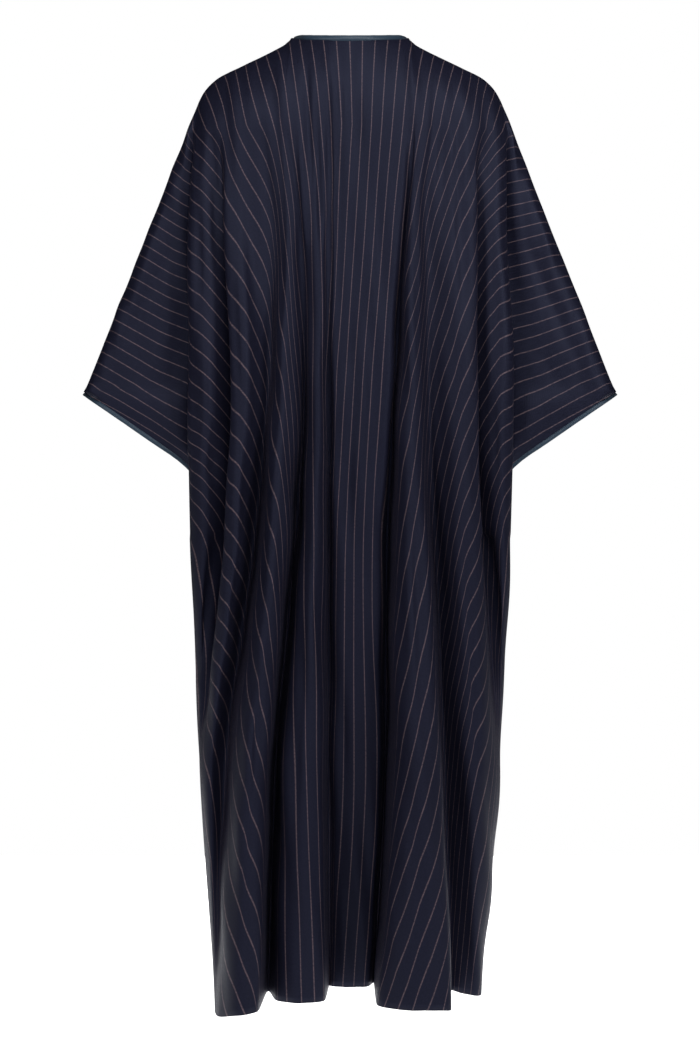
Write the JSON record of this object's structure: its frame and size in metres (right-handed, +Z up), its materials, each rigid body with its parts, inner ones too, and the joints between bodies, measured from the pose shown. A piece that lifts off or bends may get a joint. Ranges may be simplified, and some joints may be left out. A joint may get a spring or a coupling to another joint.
{
  "type": "abaya",
  "caption": "Wide open-fronted abaya cut in one with its half-length sleeves, hollow as worn, with folds falling from the shoulders and a narrow binding at neck, fronts and cuffs.",
  "frame": {"origin": "between the two high shoulder points at the sides of the neck, where the wearer's shoulders carry the garment", "axes": "+Z up, -Y towards the garment's back, +X to the wearer's right"},
  "size_m": [0.7696, 0.375, 1.3806],
  "materials": {
    "suiting": "navy worsted suiting with fine taupe pinstripes along the warp",
    "satin": "slate-blue satin strip folded over the edge"
  },
  "bodies": {
    "root": {"back_panel": "suiting", "front_left": "suiting", "front_right": "suiting", "neck_binding": "satin", "front_binding_left": "satin", "front_binding_right": "satin", "cuff_binding_left": "satin", "cuff_binding_right": "satin"}
  },
  "joints": []
}
